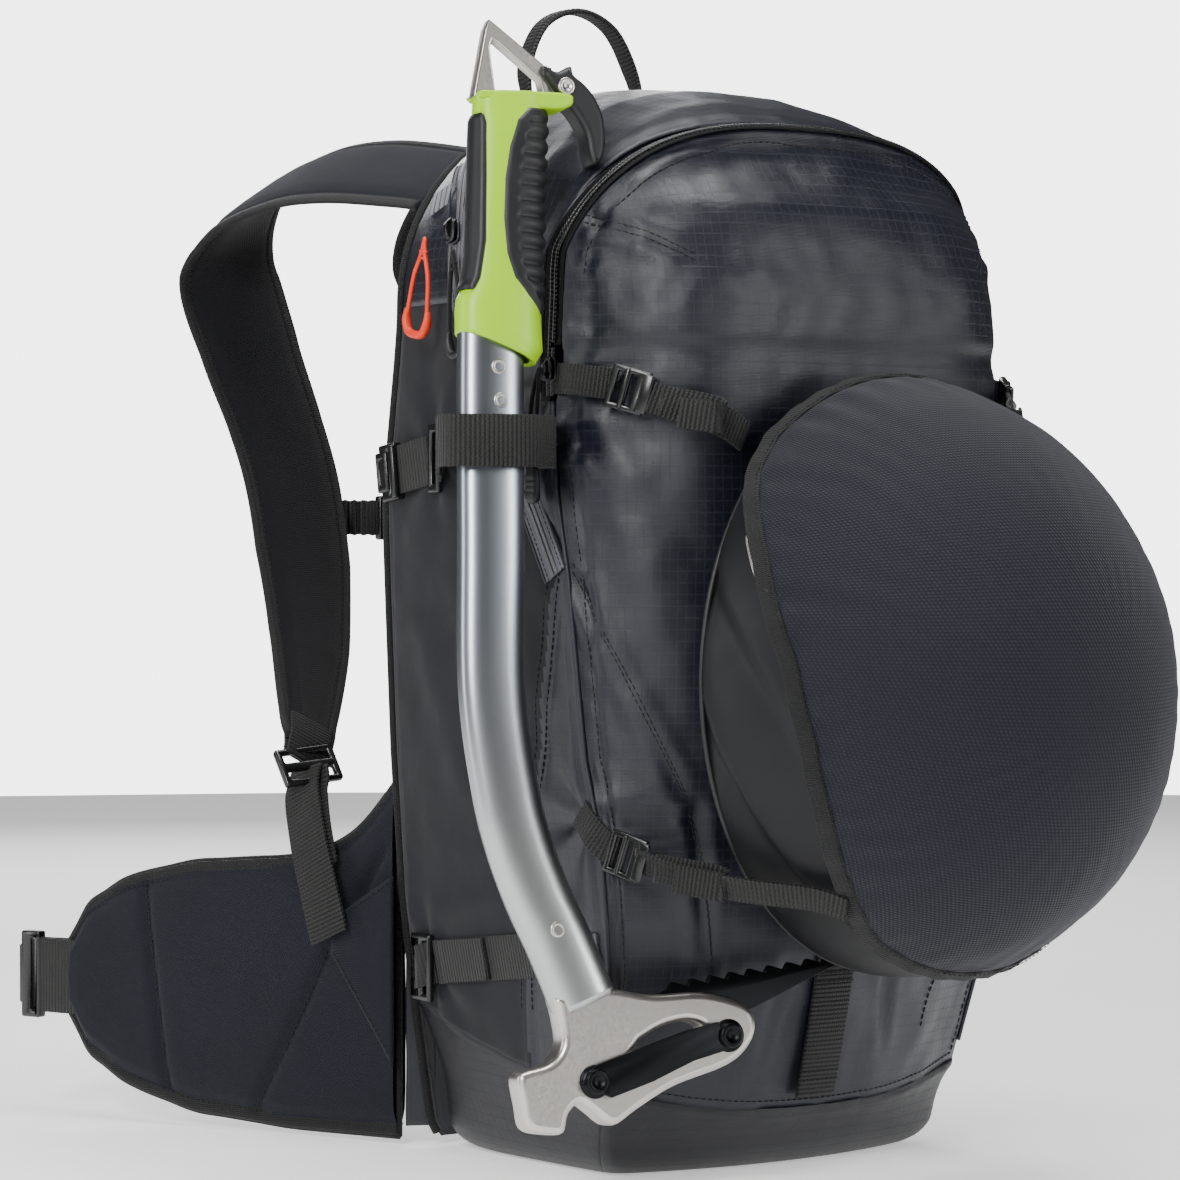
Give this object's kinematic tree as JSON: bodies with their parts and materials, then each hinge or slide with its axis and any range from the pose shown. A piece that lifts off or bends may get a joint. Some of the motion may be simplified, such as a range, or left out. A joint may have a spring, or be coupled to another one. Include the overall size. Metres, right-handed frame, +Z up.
{
  "type": "ski touring backpack",
  "caption": "Ski touring backpack with a zipped front flap, helmet net with helmet, ice tool carry, shoulder straps, sternum strap and hip wings.",
  "frame": {"origin": "centre of the base's resting face, on the ground", "axes": "+Z up; -Y towards the outer face with the helmet net; +Y towards the wearer's back; -X the wearer's left"},
  "size_m": [0.389, 0.6172, 0.5503],
  "materials": {
    "anodised_shaft": "satin",
    "black_cord": "satin",
    "black_plastic": "satin",
    "black_rubber": "matte",
    "black_steel": "satin",
    "black_zip": "satin",
    "boot_fabric": "satin",
    "buckle": "satin",
    "divider_fabric": "matte",
    "frame_plastic": "matte",
    "green_handle": "satin",
    "grey_puller": "satin",
    "grey_webbing": "matte",
    "grey_zip": "matte",
    "harness_fabric": "matte",
    "helmet_liner": "matte",
    "helmet_shell": "satin",
    "net": "matte",
    "orange_cord": "satin",
    "pad_foam": "matte",
    "satin_steel": "satin",
    "shell_fabric": "satin",
    "stay_alloy": "satin",
    "webbing": "matte",
    "zip_metal": "satin"
  },
  "bodies": {
    "pack": {"base_boot": "boot_fabric", "side_panel_left": "shell_fabric", "side_panel_right": "shell_fabric", "top_panel": "shell_fabric", "lower_front_panel": "shell_fabric", "back_panel": "boot_fabric", "back_pads": "pad_foam", "frame_sheet": "frame_plastic", "frame_stay": "stay_alloy", "tool_divider": "divider_fabric", "side_zip": "grey_zip", "grey_tabs": "grey_webbing", "main_zip_bag_half": "black_zip", "main_zip_slider_right": "zip_metal", "upper_tool_strap": "webbing", "upper_strap_bar": "buckle", "upper_strap_buckle": "buckle", "lower_tool_strap": "webbing", "lower_strap_ring": "buckle", "helmet_shell": "helmet_shell", "helmet_liner": "helmet_liner", "helmet_net": "net", "net_binding": "webbing", "net_straps": "webbing", "net_ladder_locks": "buckle", "ski_strap": "webbing", "shoulder_strap_left": "harness_fabric", "shoulder_strap_right": "harness_fabric", "strap_ring_left": "buckle", "strap_ring_right": "buckle", "adjuster_web_left": "webbing", "adjuster_web_right": "webbing", "adjuster_tabs": "harness_fabric", "tool_shaft": "anodised_shaft", "tool_handle": "green_handle", "tool_grip": "black_rubber", "tool_spike": "satin_steel", "tool_trigger": "black_plastic", "tool_head": "satin_steel", "tool_pick": "black_steel", "tool_spacer": "black_plastic", "tool_bolts": "black_steel"},
    "flap": {"front_flap": "shell_fabric", "main_zip_flap_half": "black_zip"},
    "zip_slider_left": {"main_zip_slider_left": "zip_metal"},
    "zip_pull_left": {"main_zip_pull_left": "black_cord"},
    "zip_puller_right": {"main_zip_puller_right": "grey_puller"},
    "side_slider": {"side_zip_slider": "zip_metal"},
    "orange_pull": {"side_zip_pull_orange": "orange_cord"},
    "black_pull": {"side_zip_pull_black": "black_cord"},
    "haul_handle": {"haul_loop": "webbing"},
    "hip_left": {"hip_wing_left": "harness_fabric"},
    "hip_right": {"hip_wing_right": "harness_fabric"},
    "hip_tip_left": {"hip_web_left": "webbing", "hip_buckle_plug": "buckle"},
    "hip_tip_right": {"hip_web_right": "webbing", "hip_buckle_socket": "buckle"},
    "sternum_strap": {"sternum_web_left": "webbing", "sternum_web_right": "webbing", "sternum_buckle": "buckle"}
  },
  "joints": [
    {"name": "flap_fold", "type": "hinge", "parent": "pack", "child": "flap", "pos_m": [0, -0.116, 0.3734], "axis": [1, 0, 0], "range_deg": [0, 70]},
    {"name": "zip_slide_left", "type": "slide", "parent": "pack", "child": "zip_slider_left", "axis": [0.06, 0, 0.9982], "range_m": [0, 0.007]},
    {"name": "zip_pull_swing_left", "type": "hinge", "parent": "zip_slider_left", "child": "zip_pull_left", "pos_m": [-0.132, -0.04806, 0.365], "axis": [1, 0, 0], "range_deg": [-2, 25]},
    {"name": "zip_puller_swing_right", "type": "hinge", "parent": "pack", "child": "zip_puller_right", "pos_m": [0.1304, -0.04806, 0.372], "axis": [0, 1, 0], "range_deg": [-15, 35]},
    {"name": "side_zip_slide", "type": "slide", "parent": "pack", "child": "side_slider", "axis": [-0.2041, -0.2765, -0.9391], "range_m": [0, 0.012]},
    {"name": "orange_pull_swing", "type": "hinge", "parent": "side_slider", "child": "orange_pull", "pos_m": [-0.13304, 0.03933, 0.429], "axis": [1, 0, 0], "range_deg": [-15, 20]},
    {"name": "black_pull_swing", "type": "hinge", "parent": "side_slider", "child": "black_pull", "pos_m": [-0.12844, 0.02333, 0.423], "axis": [1, 0, 0], "range_deg": [-15, 20]},
    {"name": "haul_loop_swing", "type": "hinge", "parent": "pack", "child": "haul_handle", "pos_m": [-0.009, 0.078, 0.5], "axis": [1, 0, 0], "range_deg": [-30, 40]},
    {"name": "hip_fold_left", "type": "hinge", "parent": "pack", "child": "hip_left", "pos_m": [-0.108, 0.096, 0.07], "axis": [0, 0, -1], "range_deg": [-4, 35]},
    {"name": "hip_fold_right", "type": "hinge", "parent": "pack", "child": "hip_right", "pos_m": [0.108, 0.096, 0.07], "axis": [0, 0, 1], "range_deg": [-4, 35]},
    {"name": "hip_tip_left_swing", "type": "hinge", "parent": "hip_left", "child": "hip_tip_left", "pos_m": [-0.17838, 0.29058, 0.07], "axis": [0, 0, -1], "range_deg": [-20, 30]},
    {"name": "hip_tip_right_swing", "type": "hinge", "parent": "hip_right", "child": "hip_tip_right", "pos_m": [0.17838, 0.29058, 0.07], "axis": [0, 0, 1], "range_deg": [-20, 30]},
    {"name": "sternum_height", "type": "slide", "parent": "pack", "child": "sternum_strap", "axis": [0, 0.4801, 0.8772], "range_m": [-0.018, 0.02]}
  ]
}
